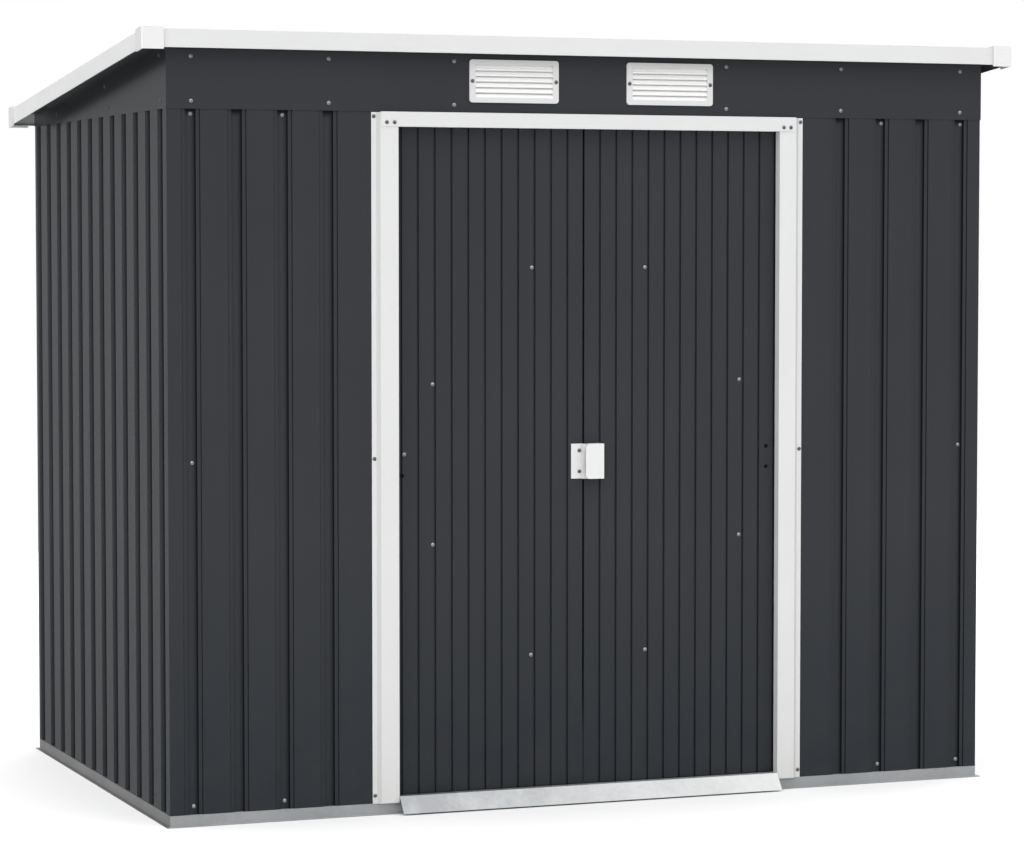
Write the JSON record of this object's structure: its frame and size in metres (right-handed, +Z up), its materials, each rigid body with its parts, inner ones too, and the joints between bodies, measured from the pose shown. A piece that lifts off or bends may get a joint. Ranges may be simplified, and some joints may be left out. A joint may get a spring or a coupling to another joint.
{
  "type": "metal storage shed",
  "caption": "Pent-roof garden shed of ribbed sheet steel with sliding double doors, louvred vents, a threshold ramp and an open base frame.",
  "frame": {"origin": "on the ground under the middle of the roof's outline", "axes": "+X along the front to the right as seen from the front, +Y from the front to the back, +Z up"},
  "size_m": [2.13, 1.302, 1.7497],
  "materials": {
    "anthracite_sheet": "satin coil-coated anthracite",
    "white_trim": "satin white paint",
    "white_plastic": "moulded white",
    "galvanised": "galvanised sheet",
    "dark_nylon": "moulded black"
  },
  "bodies": {
    "shed": {"base_rail_front": "galvanised", "base_rail_back": "galvanised", "base_rail_left": "galvanised", "base_rail_right": "galvanised", "threshold_ramp": "galvanised", "door_guide_channel": "galvanised", "corner_posts": "galvanised", "upper_track": "galvanised", "front_roof_rail": "galvanised", "back_top_rail": "galvanised", "left_side_rails": "galvanised", "right_side_rails": "galvanised", "roof_beam": "galvanised", "front_panel_left": "anthracite_sheet", "front_panel_right": "anthracite_sheet", "front_header": "anthracite_sheet", "left_wall": "anthracite_sheet", "right_wall": "anthracite_sheet", "back_wall": "anthracite_sheet", "left_gable": "anthracite_sheet", "right_gable": "anthracite_sheet", "roof_panel_1": "anthracite_sheet", "roof_panel_2": "anthracite_sheet", "roof_panel_3": "anthracite_sheet", "roof_panel_4": "anthracite_sheet", "left_jamb": "white_trim", "right_jamb": "white_trim", "door_frame_header": "white_trim", "front_fascia": "white_trim", "back_fascia": "white_trim", "left_roof_trim": "white_trim", "right_roof_trim": "white_trim", "roof_corner_caps": "white_plastic", "left_vent": "white_plastic", "right_vent": "white_plastic"},
    "left_door": {"left_door_frame": "galvanised", "left_door_hangers": "galvanised", "left_door_panel": "anthracite_sheet", "left_handle": "white_trim", "left_door_guides": "dark_nylon"},
    "right_door": {"right_door_frame": "galvanised", "right_door_hangers": "galvanised", "right_door_panel": "anthracite_sheet", "right_handle": "white_trim", "right_door_guides": "dark_nylon"}
  },
  "joints": [
    {"name": "left_door_slide", "type": "slide", "parent": "shed", "child": "left_door", "axis": [-1, 0, 0], "range_m": [0, 0.41]},
    {"name": "right_door_slide", "type": "slide", "parent": "shed", "child": "right_door", "axis": [1, 0, 0], "range_m": [0, 0.41]}
  ]
}
